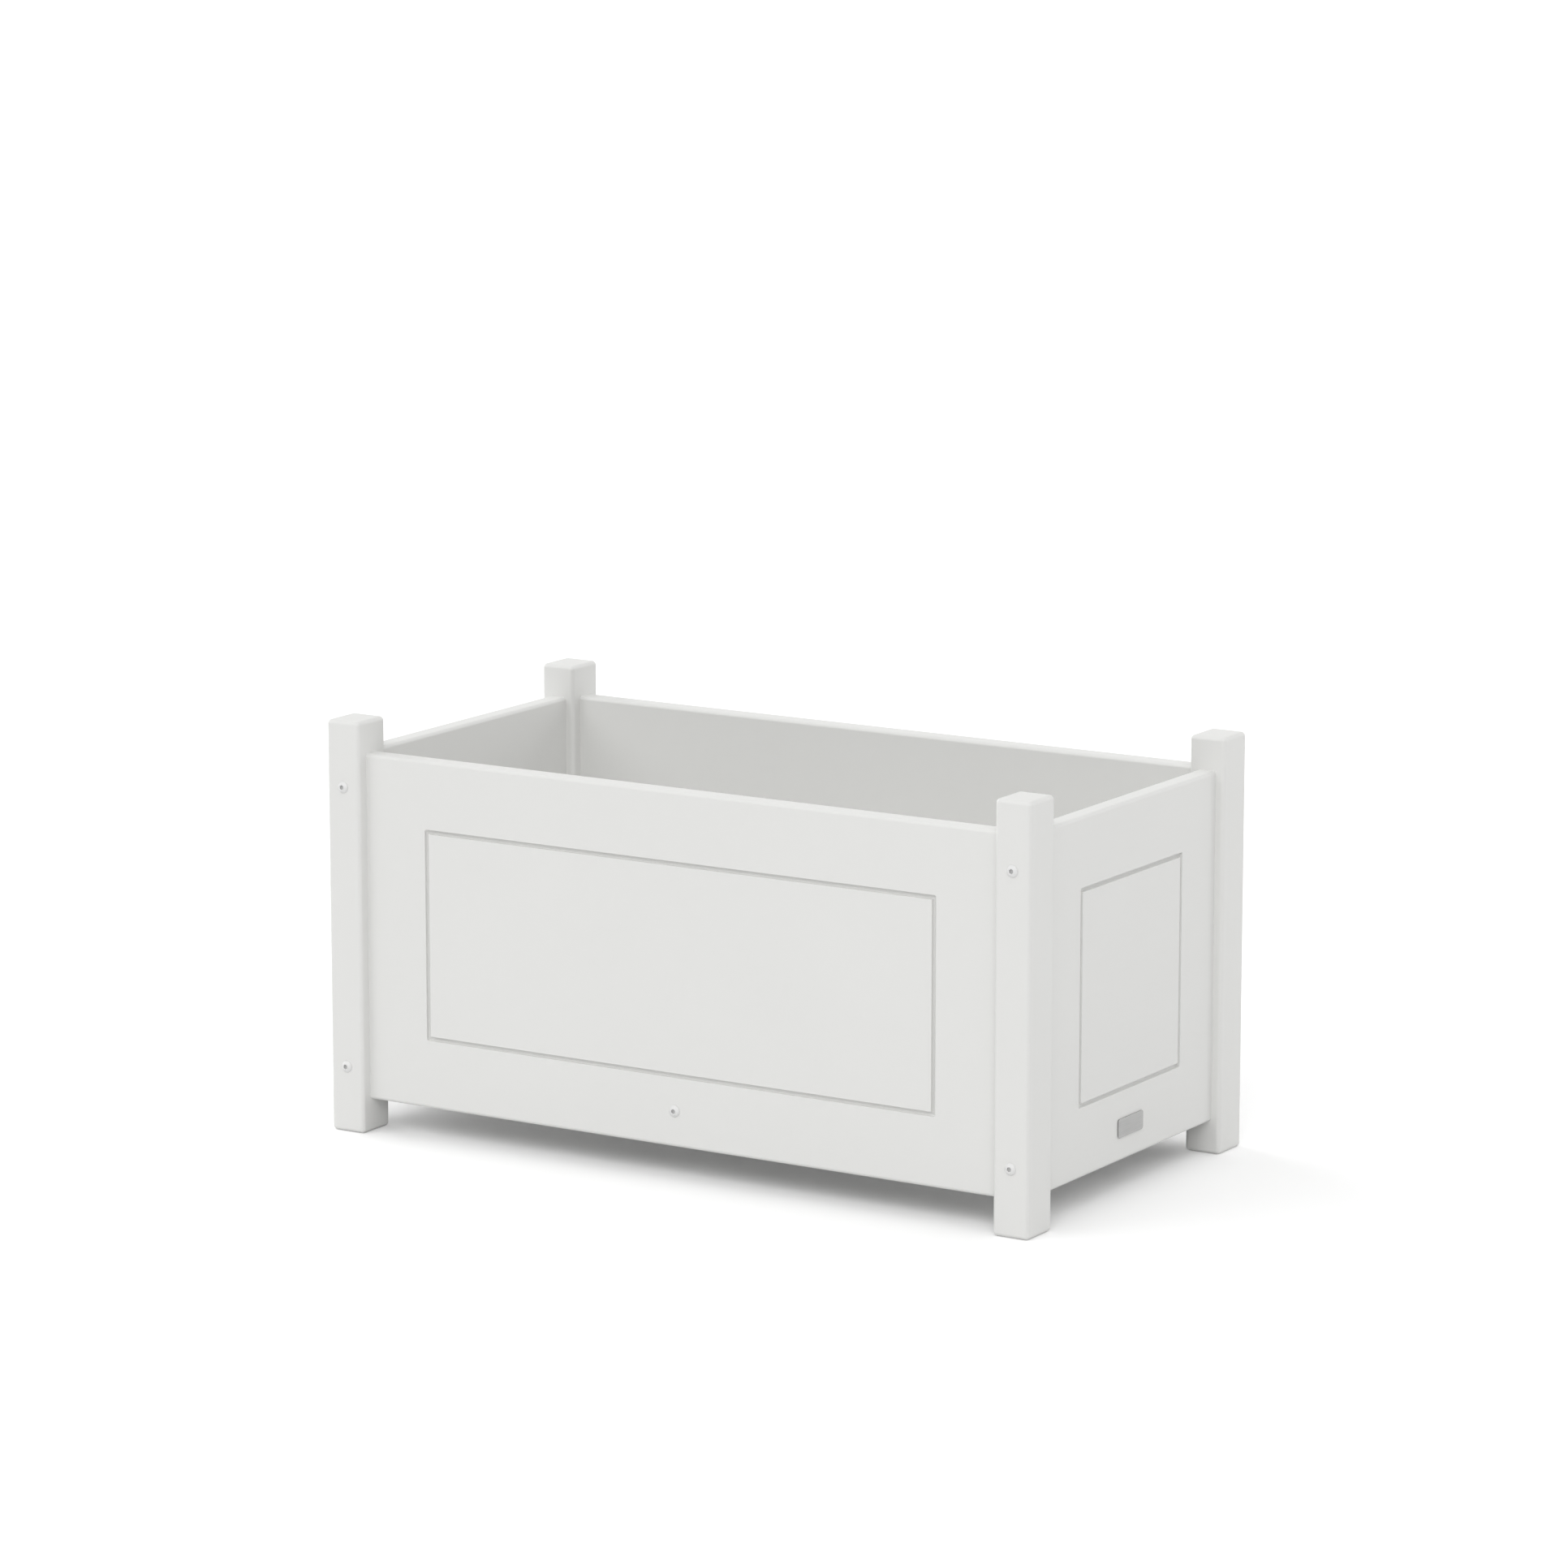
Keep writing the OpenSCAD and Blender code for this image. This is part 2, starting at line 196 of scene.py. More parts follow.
def relief(finish, shader, heights):
    """Adds a bump for each (height, depth in metres), one on top of the other."""
    normal = None
    for height, depth in heights:
        bump = finish.node_tree.nodes.new("ShaderNodeBump")
        bump.inputs["Distance"].default_value = depth
        finish.node_tree.links.new(height, bump.inputs["Height"])
        if normal:
            finish.node_tree.links.new(normal, bump.inputs["Normal"])
        normal = bump.outputs["Normal"]
    finish.node_tree.links.new(normal, shader.inputs["Normal"])


# %% [markdown]
# The boards are white all through, with a satin skin. Planing leaves long hair lines along a
# board and the moulding leaves a faint pebbled skin, both far too fine to see as lines from a
# step away: they only soften the shine. Each board is grained along its own length, so there is
# one finish for each direction.

# %% The boards' white plastic
BOARD_WHITE = (0.74, 0.74, 0.725)
CLOUD_TONES = (0.737, 0.737, 0.722), (0.743, 0.743, 0.728)
HAIR_STRETCH = 0.025
EVEN = (1.0, 1.0, 1.0)


def board_finish(axis):
    """White milled plastic with its hair lines along X, Y or Z."""
    finish, shader = new_finish(f"white_board_along_{axis}", BOARD_WHITE, 0.62)
    stretch = [HAIR_STRETCH if name == axis else 1.0 for name in "xyz"]
    hair = stretched_noise(finish, stretch, 900.0, 4.0)
    pebble = stretched_noise(finish, EVEN, 650.0, 2.0)
    cloud = stretched_noise(finish, EVEN, 9.0, 2.0)
    toned(finish, shader, cloud, *CLOUD_TONES)
    worn(finish, shader, hair, 0.56, 0.68)
    relief(finish, shader, [(hair, 0.00003), (pebble, 0.00004)])
    return finish


boards = {axis: board_finish(axis) for axis in "xyz"}
print("board finishes:", sorted(finish.name for finish in boards.values()))

# %% [markdown]
# The small parts have their own finishes: white paint with a slight orange peel on the bolts,
# turned brass for the inserts, moulded plastic for the dowels, plain steel for the screws,
# brushed metal for the bare plate and dark foam for the pad that holds it. The inside of a
# bolt's socket is darkened by painted shade, carried by an attribute on the bolts' mesh.

# %% Finishes of the small parts
BOLT_WHITE = (0.74, 0.74, 0.735)
# painted shade: the colour that the inside of a socket is darkened towards
SOCKET_PAINTED_SHADE = (0.03, 0.03, 0.03)

bolt_paint, shader = new_finish("white_bolt_paint", BOLT_WHITE, 0.5)
peel = stretched_noise(bolt_paint, EVEN, 2200.0, 1.0)
worn(bolt_paint, shader, peel, 0.45, 0.55)
relief(bolt_paint, shader, [(peel, 0.00002)])
# painted shade in the sockets, read from the attribute that the bolt tree stores
in_socket = bolt_paint.node_tree.nodes.new("ShaderNodeAttribute")
in_socket.attribute_name = "in_socket"
toned(bolt_paint, shader, in_socket.outputs["Fac"], BOLT_WHITE, SOCKET_PAINTED_SHADE, (0.0, 1.0))

brass, shader = new_finish("turned_brass", (0.60, 0.42, 0.16), 0.3, Metallic=1.0)
tarnish = stretched_noise(brass, EVEN, 400.0)
toned(brass, shader, tarnish, (0.50, 0.34, 0.12), (0.66, 0.47, 0.19))
worn(brass, shader, tarnish, 0.24, 0.4)

dowel_plastic, shader = new_finish("moulded_dowel", (0.52, 0.50, 0.44), 0.55)
sink = stretched_noise(dowel_plastic, (0.2, 1.0, 1.0), 700.0)
toned(dowel_plastic, shader, sink, (0.49, 0.47, 0.41), (0.55, 0.53, 0.47))
relief(dowel_plastic, shader, [(sink, 0.00003)])

steel, shader = new_finish("plain_steel", (0.48, 0.48, 0.46), 0.34, Metallic=1.0)
scale_marks = stretched_noise(steel, EVEN, 900.0)
toned(steel, shader, scale_marks, (0.42, 0.42, 0.40), (0.54, 0.54, 0.52))
worn(steel, shader, scale_marks, 0.28, 0.42)

plate_metal, shader = new_finish("brushed_plate", (0.41, 0.41, 0.405), 0.36, Metallic=0.9)
brushing = stretched_noise(plate_metal, (1.0, 0.01, 1.0), 2600.0, 2.0)
sheen = stretched_noise(plate_metal, EVEN, 60.0, 1.0)
toned(plate_metal, shader, brushing, (0.37, 0.37, 0.365), (0.45, 0.45, 0.445))
worn(plate_metal, shader, sheen, 0.3, 0.42)
relief(plate_metal, shader, [(brushing, 0.00001)])

pad_foam, shader = new_finish("pad_foam", (0.027, 0.027, 0.027), 0.85)
cells = stretched_noise(pad_foam, EVEN, 1500.0)
toned(pad_foam, shader, cells, (0.018, 0.018, 0.018), (0.04, 0.04, 0.04))
relief(pad_foam, shader, [(cells, 0.0001)])
small_finishes = (bolt_paint, brass, dowel_plastic, steel, plate_metal, pad_foam)
print("finishes of the small parts:", [finish.name for finish in small_finishes])

# %% [markdown]
# ## Milled boards
#
# Every long edge of a board is eased by a bit that is nearly a quarter round, so a small flat at
# 45 degrees is left between soft shoulders. One could bevel a box, but then the groove on the
# face would need a cut, and a cut leaves edges that shade badly. Here a board is a stack of
# outlines instead: each outline is a rectangle with eased corners, a little smaller or lower than
# the one before, and faces bridge them. The rim and the groove are only more outlines in the same
# stack.

# %% Outlines and stacks
SHOULDER_STEPS = 5
SAME_POINT = 1e-7


def easing(roundness):
    """An edge's profile of unit size, as (inset, drop) pairs from its side to its face. Nought
    is a plain chamfer and one is a quarter round."""
    shoulder = []
    for step in range(SHOULDER_STEPS + 1):
        angle = math.radians(45.0 * step / SHOULDER_STEPS)
        shoulder.append((roundness * (1 - math.cos(angle)), 1 - roundness * math.sin(angle)))
    return shoulder + [(inset, drop) for drop, inset in reversed(shoulder)]


MILLED_EDGE = easing(0.85)
ROUND = easing(1.0)


def outline(width, height, size, profile):
    """Points of a rectangle with corners eased over a size, anticlockwise."""
    corner = [(width / 2 - size * inset, height / 2 - size * drop) for inset, drop in profile]
    points = []
    for sx, sy in ((1, 1), (-1, 1), (-1, -1), (1, -1)):
        points += [(sx * x, sy * y) for x, y in (corner if sx == sy else reversed(corner))]
    return points


def rim(thickness, size, profile):
    """(inset, level) pairs of a board's outlines, from its back to its front face."""
    levels = [(size * inset, size * drop - thickness / 2) for inset, drop in reversed(profile)]
    return levels + [(size * inset, thickness / 2 - size * drop) for inset, drop in profile]


def stack(rings, profile, axes, centre):
    """A closed mesh through rings of (width, height, corner size, level), in mm, placed in metres.
    axes are the directions of the rings' width, of their height and of the levels."""
    u, v, w = (Vector(axis) for axis in axes)
    mesh = bmesh.new()
    loops = []
    for width, height, size, level in rings:
        loop = [
            mesh.verts.new((Vector(centre) + u * x + v * y + w * level) * MM)
            for x, y in outline(width, height, size, profile)
        ]
        loops.append(loop)
    count = len(loops[0])
    for low, high in zip(loops, loops[1:]):
        for i in range(count):
            j = (i + 1) % count
            mesh.faces.new((low[i], low[j], high[j], high[i]))
    mesh.faces.new(reversed(loops[0]))
    mesh.faces.new(loops[-1])
    bmesh.ops.remove_doubles(mesh, verts=mesh.verts, dist=SAME_POINT)
    return mesh


print(f"an outline has {len(outline(10, 10, 1, ROUND))} points")

# %% [markdown]
# ## Holes and shading
#
# The posts and panels are drilled where the bolts, inserts and dowels go. Each hole is a hair
# wider than what it takes and a little deeper. A drill is a turned cutter that stands out of the
# board by a millimetre, and a Boolean takes it out. Then the sharp edges are marked by their
# angle, and a Weighted Normal modifier lets the big flat faces win at a shared corner, so that a
# flat face stays flat right up to its eased rim.

# %% Drills and finishing
BOLT_HOLE_R, INSERT_HOLE_R, DOWEL_HOLE_R, PILOT_R = 3.475, 5.6, 4.85, 2.2
BOLT_HOLE_END, INSERT_DEPTH, DOWEL_HOLE_DEPTH, PILOT_DEPTH = 26.4, 20.0, 26.0, 12.95
STANDS_OUT = 1.0


def straight_hole(radius, depth):
    """The profile of a drill of one radius."""
    return [(radius, -depth), (radius, STANDS_OUT)]


def drill(profile, axes, centre, sides=48):
    """A turned cutter. Its profile is (radius, level) pairs in mm, from the hole's end out."""
    u, v, w = (Vector(axis) for axis in axes)
    mesh = bmesh.new()
    loops = []
    for radius, level in profile:
        loop = []
        for i in range(sides):
            angle = math.tau * i / sides
            place = u * radius * math.cos(angle) + v * radius * math.sin(angle) + w * level
            loop.append(mesh.verts.new((Vector(centre) + place) * MM))
        loops.append(loop)
    for low, high in zip(loops, loops[1:]):
        for i in range(sides):
            j = (i + 1) % sides
            mesh.faces.new((low[i], low[j], high[j], high[i]))
    mesh.faces.new(reversed(loops[0]))
    mesh.faces.new(loops[-1])
    return mesh


def as_object(name, mesh):
    """A linked object that holds the built mesh, at the origin."""
    data = bpy.data.meshes.new(name)
    mesh.to_mesh(data)
    mesh.free()
    made = bpy.data.objects.new(name, data)
    bpy.context.scene.collection.objects.link(made)
    return made


def baked(piece):
    """Applies the piece's modifiers and leaves a plain mesh."""
    graph = bpy.context.evaluated_depsgraph_get()
    data = bpy.data.meshes.new_from_object(
        piece.evaluated_get(graph), preserve_all_data_layers=True, depsgraph=graph
    )
    piece.modifiers.clear()
    piece.data = data
    return piece


def drilled(piece, drills):
    """Takes the drills out of the piece."""
    for cutter_mesh in drills:
        cutter = as_object("drill", cutter_mesh)
        cut = piece.modifiers.new("drilled", "BOOLEAN")
        cut.operation = "DIFFERENCE"
        cut.solver = "MANIFOLD"
        cut.object = cutter
        baked(piece)
        bpy.data.objects.remove(cutter)
    return piece


def shaded(piece, angle=35.0):
    """Smooth faces between sharp edges, with the flat faces kept flat."""
    piece.data.shade_smooth()
    piece.data.set_sharp_from_angle(angle=math.radians(angle))
    weighted = piece.modifiers.new("flat_faces", "WEIGHTED_NORMAL")
    weighted.keep_sharp = True
    weighted.weight = 100
    return baked(piece)


def finished(piece, finish, slot, *replaced):
    """Gives the piece its material and its place in the frame, and prints how it fits."""
    piece.data.materials.clear()
    piece.data.materials.append(finish)
    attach(piece, "root")
    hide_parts(*replaced)
    error = box_error(piece, *replaced)
    print(f"{piece.name}: {len(piece.data.polygons)} faces, {error:.3f} mm from the CAD box")
    return piece


# %% [markdown]
# ## Corner posts
#
# A post is a thick board stood on end. Its head and its foot are eased like its sides, so all
# eight corners come out soft. Two bolts pass through it from the front or the back into the end
# panel, and three dowels enter it from the side that meets the long panel.

# %% Make the corner posts
AXES_UP = ((1, 0, 0), (0, 1, 0), (0, 0, 1))


def towards(x, y):
    """Axes whose last one points along X or Y, with Z as the height of an outline."""
    return ((-y, x, 0), (0, 0, 1), (x, y, 0))


def corner_post(name, sx, sy):
    rings = [
        (POST_W - 2 * inset, POST_D - 2 * inset, POST_EASE - inset, level)
        for inset, level in rim(HEIGHT, POST_EASE, MILLED_EDGE)
    ]
    centre = (sx * mid_x, sy * mid_y, HEIGHT / 2)
    post = as_object(f"milled_{name}", stack(rings, MILLED_EDGE, AXES_UP, centre))
    drills = []
    for z in bolt_z:
        through = straight_hole(BOLT_HOLE_R, POST_D + STANDS_OUT)
        drills.append(drill(through, towards(0, sy), (sx * mid_x, sy * DEPTH / 2, z)))
    for z in dowel_z:
        bore = straight_hole(DOWEL_HOLE_R, DOWEL_HOLE_DEPTH)
        drills.append(drill(bore, towards(-sx, 0), (sx * post_x, sy * mid_y, z)))
    return finished(shaded(drilled(post, drills)), boards["z"], "board_white", name)


corners = {
    "front_left": (-1, -1),
    "front_right": (1, -1),
    "back_left": (-1, 1),
    "back_right": (1, 1),
}
for place, (sx, sy) in corners.items():
    corner_post(f"post_{place}", sx, sy)

# %% [markdown]
# ## Grooved panels
#
# The panels are cut off square and only their top and bottom edges are eased. Each panel carries
# one groove that frames its outer face. The bit's tip is flat with rounded corners, so the groove
# has upright walls that run into its floor, and takes more light than a square one. It turns each
# corner with the bit's own radius outside and a sharp corner inside. The rim of a real groove is
# never quite sharp, and a small easing there is what catches the light as a fine line.

# %% Make the panels
GROOVE_EASE, GROOVE_EASE_STEPS = 0.35, 4
GROOVE_FILLET, GROOVE_FILLET_STEPS = 1.4, 6


def quarter_turn(radius, count):
    """Points of a quarter turn out of a face, as (along the face, away from it) pairs."""
    turns = [math.radians(90.0 * step / count) for step in range(count + 1)]
    return [(radius * math.sin(turn), radius * (1 - math.cos(turn))) for turn in turns]


def groove_rings(width, margin):
    """Rings that take a panel's face down through the groove and up again to the middle field."""
    half = GROOVE_W / 2
    ease = quarter_turn(GROOVE_EASE, GROOVE_EASE_STEPS)
    fillet = [
        (inset, drop) for drop, inset in quarter_turn(GROOVE_FILLET, GROOVE_FILLET_STEPS)
    ]
    down = [(inset - GROOVE_EASE - half, drop) for inset, drop in ease]
    down += [(inset - half, GROOVE_DEPTH - GROOVE_FILLET + drop) for inset, drop in fillet]
    up = [(-inset, drop) for inset, drop in reversed(down)]
    return [
        (
            width - 2 * (margin + inset), panel_h - 2 * (GROOVE_MARGIN + inset),
            max(0.0, -inset), PANEL_T / 2 - drop,
        )
        for inset, drop in down + up
    ]


def grooved_panel(name, width, margin, facing, drills):
    x, y = facing
    rings = [
        (width, panel_h - 2 * inset, 0.0, level)
        for inset, level in rim(PANEL_T, PANEL_EASE, MILLED_EDGE)
    ]
    rings += groove_rings(width, margin)
    centre = (x * mid_x, y * mid_y, panel_mid)
    panel = as_object(f"grooved_{name}", stack(rings, ROUND, towards(x, y), centre))
    grain = boards["x" if y else "y"]
    return finished(shaded(drilled(panel, drills)), grain, "board_white", name)


for name, sy in (("panel_front", -1), ("panel_back", 1)):
    through = straight_hole(BOLT_HOLE_R, PANEL_T + STANDS_OUT)
    drills = [drill(through, towards(0, sy), (0, sy * (in_y + PANEL_T), brace_z))]
    for sx in (-1, 1):
        for z in dowel_z:
            bore = straight_hole(DOWEL_HOLE_R, DOWEL_HOLE_DEPTH)
            drills.append(drill(bore, towards(sx, 0), (sx * post_x, sy * mid_y, z)))
    grooved_panel(name, 2 * post_x, GROOVE_LONG_MARGIN, (0, sy), drills)

for name, sx in (("panel_left", -1), ("panel_right", 1)):
    pilot = straight_hole(PILOT_R, PILOT_DEPTH)
    drills = [drill(pilot, towards(-sx, 0), (sx * in_x, y, cleat_z)) for y in cleat_screw_y]
    for sy in (-1, 1):
        for z in bolt_z:
            seat = [(BOLT_HOLE_R, -BOLT_HOLE_END), (BOLT_HOLE_R, -INSERT_DEPTH)]
            seat += straight_hole(INSERT_HOLE_R, INSERT_DEPTH)
            drills.append(drill(seat, towards(0, sy), (sx * mid_x, sy * post_y, z)))
    grooved_panel(name, 2 * post_y, GROOVE_END_MARGIN, (sx, 0), drills)

# %% [markdown]
# ## Fasteners by rule
#
# Bolts, inserts, screws and dowels are all turned parts that repeat, so Geometry Nodes make them.
# Each tree draws half a section out of short lines, turns it round a circle into a skin, and then
# moves the skin's points by a rule of their angle and height: in for the flats of a socket, in
# and out for a thread, in for a dowel's flutes. The finished part is put on each seat, turned to
# face the way that its seat says, and the instances are made real at the end.

# %% A short hand for node trees
TURN_R = 0.01  # of the circle that carries a half section; any size would do
JOINED = 1e-6


class Rule:
    """A Geometry Nodes tree under construction, with its sizes as named inputs."""

    def __init__(self, name, sizes):
        self.group = bpy.data.node_groups.new(name, "GeometryNodeTree")
        face = self.group.interface
        face.new_socket("Seats", in_out="INPUT", socket_type="NodeSocketGeometry")
        for size in sizes:
            face.new_socket(size, in_out="INPUT", socket_type="NodeSocketFloat")
        face.new_socket("Made", in_out="OUTPUT", socket_type="NodeSocketGeometry")
        self.given = self.group.nodes.new("NodeGroupInput").outputs

    def node(self, kind, inputs, **settings):
        node = self.group.nodes.new(kind)
        for key, value in settings.items():
            setattr(node, key, value)
        for key, value in inputs.items():
            for one in value if isinstance(value, list) else [value]:
                if isinstance(one, bpy.types.NodeSocket):
                    self.group.links.new(one, node.inputs[key])
                else:
                    node.inputs[key].default_value = one
        return next(socket for socket in node.outputs if socket.enabled)

    def math(self, operation, *values):
        return self.node("ShaderNodeMath", dict(enumerate(values)), operation=operation)

    def add(self, a, b):
        return self.math("ADD", a, b)

    def less(self, a, b):
        return self.math("SUBTRACT", a, b)

    def times(self, a, b):
        return self.math("MULTIPLY", a, b)

    def over(self, a, b):
        return self.math("DIVIDE", a, b)

    def vector(self, x, y, z):
        return self.node("ShaderNodeCombineXYZ", {"X": x, "Y": y, "Z": z})

    def place(self):
        """X, Y, Z of the point at hand."""
        position = self.node("GeometryNodeInputPosition", {})
        node = self.group.nodes.new("ShaderNodeSeparateXYZ")
        self.group.links.new(position, node.inputs[0])
        return node.outputs

    def line(self, start, end, count=2):
        """A straight run of the half section between two (radius, height) pairs."""
        (r0, z0), (r1, z1) = start, end
        first = self.vector(self.less(r0, TURN_R), self.times(z0, -1.0), 0.0)
        last = self.vector(self.less(r1, TURN_R), self.times(z1, -1.0), 0.0)
        return self.node(
            "GeometryNodeMeshLine",
            {"Count": count, "Start Location": first, "Offset": last},
            mode="END_POINTS",
        )

    def turned(self, points, sides):
        """The skin that a half section sweeps round the Z axis. The section runs from the middle
        of the top, outwards and down, so that the faces point out."""
        lines = [
            self.line(start[:2], end[:2], end[2] if len(end) > 2 else 2)
            for start, end in zip(points, points[1:])
        ]
        section = self.node("GeometryNodeJoinGeometry", {"Geometry": lines})
        section = self.node("GeometryNodeMeshToCurve", {"Mesh": section})
        circle = self.node(
            "GeometryNodeCurvePrimitiveCircle", {"Resolution": sides, "Radius": TURN_R}
        )
        skin = self.node("GeometryNodeCurveToMesh", {"Curve": circle, "Profile Curve": section})
        return self.node("GeometryNodeMergeByDistance", {"Geometry": skin, "Distance": JOINED})

    def polar(self):
        """Radius, angle and height of the point at hand."""
        x, y, z = self.place()
        radius = self.math("SQRT", self.add(self.times(x, x), self.times(y, y)))
        return radius, self.math("ARCTAN2", y, x), z

    def scaled(self, skin, chosen, factor):
        """Moves the chosen points in or out to factor times their radius."""
        x, y, z = self.place()
        moved = self.vector(self.times(x, factor), self.times(y, factor), z)
        return self.node(
            "GeometryNodeSetPosition", {"Geometry": skin, "Selection": chosen, "Position": moved}
        )

    def flats(self, skin, sides, corner_r, above):
        """Draws a round hole over above in to a regular one, whose corners lie on corner_r."""
        radius, angle, z = self.polar()
        inside = self.math("LESS_THAN", radius, self.add(corner_r, JOINED))
        chosen = self.times(inside, self.math("GREATER_THAN", z, above))
        side = math.tau / sides
        turn = self.math("FLOORED_MODULO", angle, side)
        factor = self.over(math.cos(side / 2), self.math("COSINE", self.less(turn, side / 2)))
        return self.scaled(skin, chosen, factor)

    def thread(self, skin, shank_r, depth, pitch, low, high):
        """Cuts a thread between two heights, which runs out over one turn at each end."""
        radius, angle, z = self.polar()
        skin_points = self.math("GREATER_THAN", radius, self.times(shank_r, 0.9))
        wound = self.math("FRACT", self.add(self.over(z, pitch), self.over(angle, math.tau)))
        ridge = self.math("ABSOLUTE", self.less(self.times(wound, 2.0), 1.0))
        start = self.math("DIVIDE", self.less(z, low), pitch)
        stop = self.math("DIVIDE", self.less(high, z), pitch)
        fade = self.math("MINIMUM", start, stop)
        fade = self.math("MAXIMUM", self.math("MINIMUM", fade, 1.0), 0.0)
        cut = self.times(self.times(fade, self.over(depth, shank_r)), self.less(1.0, ridge))
        return self.scaled(skin, skin_points, self.less(1.0, cut))

    def seated(self, part, finish, crease=30.0):
        """Puts the part on every seat, makes the copies real and gives them their finish."""
        smooth = self.node("GeometryNodeSetShadeSmooth", {"Geometry": part, "Shade Smooth": True})
        bend = self.node("GeometryNodeInputMeshEdgeAngle", {})
        sharp = self.math("GREATER_THAN", bend, math.radians(crease))
        smooth = self.node(
            "GeometryNodeSetShadeSmooth",
            {"Geometry": smooth, "Selection": sharp, "Shade Smooth": False},
            domain="EDGE",
        )
        out = self.node(
            "GeometryNodeInputNamedAttribute", {"Name": "out"}, data_type="FLOAT_VECTOR"
        )
        facing = self.node("FunctionNodeAlignRotationToVector", {"Vector": out}, axis="Z")
        chance = self.node("FunctionNodeRandomValue", {3: math.tau, "Seed": 7}, data_type="FLOAT")
        spin = self.node("FunctionNodeAxisAngleToRotation", {"Angle": chance})
        facing = self.node(
            "FunctionNodeRotateRotation",
            {"Rotation": facing, "Rotate By": spin},
            rotation_space="LOCAL",
        )
        copies = self.node(
            "GeometryNodeInstanceOnPoints",
            {"Points": self.given["Seats"], "Instance": smooth, "Rotation": facing},
        )
        real = self.node("GeometryNodeRealizeInstances", {"Geometry": copies})
        coat = {"Geometry": real, "Material": finish}
        return self.done(self.node("GeometryNodeSetMaterial", coat))

    def done(self, made):
        self.group.links.new(made, self.group.nodes.new("NodeGroupOutput").inputs["Made"])
        return self.group


def grown(name, group, sizes, seats):
    """Runs a tree on seats, which are (point, way out) pairs in mm, and keeps the mesh."""
    points = bpy.data.meshes.new(name)
    points.from_pydata([Vector(point) * MM for point, out in seats], [], [])
    facing = points.attributes.new("out", "FLOAT_VECTOR", "POINT")
    facing.data.foreach_set("vector", [value for point, out in seats for value in out])
    piece = bpy.data.objects.new(name, points)
    bpy.context.scene.collection.objects.link(piece)
    modifier = piece.modifiers.new("rule", "NODES")
    modifier.node_group = group
    for item in group.interface.items_tree:
        if item.in_out == "INPUT" and item.name in sizes:
            modifier[item.identifier] = sizes[item.name] * MM
    return baked(piece)


# %% [markdown]
# ## Socket bolts
#
# The photographed bolts are painted button heads: a low dome on a thin straight rim, with a small
# hexagonal socket. The dome is part of a ball, so its height follows from the radius. The rim of
# the socket is broken by a small chamfer that shines as a thin ring. Below the head is a plain
# shank and a thread that reaches into the insert. The tree marks the socket's points with an
# attribute that darkens the paint there as painted shade.

# %% Make the bolts
SOCKET_CHAMFER, SOCKET_DIP, SOCKET_LIP = 0.0003, 0.0004, 0.0005
HEAD_EDGE = 0.0002
DOME_STEPS = 9
# how far the painted shade darkens the inside of a socket
SOCKET_SHADE = 0.35


def bolt_rule():
    sizes = [
        "Head Diameter", "Head Height", "Rim Height", "Socket Width", "Socket Depth",
        "Shank Diameter", "Shank Length", "Thread Length", "Thread Depth", "Pitch",
    ]
    rule = Rule("Socket bolt", sizes)
    given = rule.given
    head_r = rule.times(given["Head Diameter"], 0.5)
    shank_r = rule.times(given["Shank Diameter"], 0.5)
    dome_h = rule.less(given["Head Height"], given["Rim Height"])
    corner_r = rule.times(given["Socket Width"], 0.5 / math.cos(math.radians(30)))
    ball_r = rule.over(
        rule.add(rule.times(head_r, head_r), rule.times(dome_h, dome_h)), rule.times(dome_h, 2.0)
    )
    ball_z = rule.less(given["Head Height"], ball_r)

    def dome(radius):
        rise = rule.less(rule.times(ball_r, ball_r), rule.times(radius, radius))
        return rule.add(ball_z, rule.math("SQRT", rise))

    chamfer_r = rule.add(corner_r, SOCKET_CHAMFER)
    ring_z = dome(chamfer_r)
    floor_z = rule.less(given["Head Height"], given["Socket Depth"])
    length = rule.times(given["Shank Length"], -1.0)
    tip = rule.times(shank_r, 0.3)
    thread_top = rule.add(length, given["Thread Length"])
    edge_r = rule.less(head_r, HEAD_EDGE)
    dome_points = []
    for step in range(1, DOME_STEPS + 1):
        share = step / DOME_STEPS
        radius = rule.add(rule.times(chamfer_r, 1 - share), rule.times(head_r, share))
        dome_points.append((radius, dome(radius)))
    section = [
        (0.0, rule.less(floor_z, SOCKET_DIP)),
        (corner_r, floor_z),
        (corner_r, rule.less(ring_z, SOCKET_CHAMFER)),
        (chamfer_r, ring_z),
        *dome_points,
        (head_r, HEAD_EDGE),
        (edge_r, 0.0),
        (shank_r, 0.0),
        (shank_r, thread_top),
        (shank_r, rule.add(length, tip), 100),
        (rule.less(shank_r, tip), length),
        (0.0, length),
    ]
    skin = rule.turned(section, 48)
    skin = rule.flats(skin, 6, corner_r, 0.0)
    # Painted shade: points on the socket's walls and floor are marked so that the paint darkens
    # there
    radius, _, z = rule.polar()
    inside = rule.math("LESS_THAN", radius, rule.add(corner_r, JOINED))
    inside = rule.times(inside, rule.math("GREATER_THAN", z, 0.0))
    inside = rule.times(inside, rule.math("LESS_THAN", z, rule.less(ring_z, SOCKET_LIP)))
    skin = rule.node(
        "GeometryNodeStoreNamedAttribute",
        {"Geometry": skin, "Name": "in_socket", "Value": rule.times(inside, SOCKET_SHADE)},
    )
    skin = rule.thread(skin, shank_r, given["Thread Depth"], given["Pitch"], length, thread_top)
    return rule.seated(skin, bolt_paint)


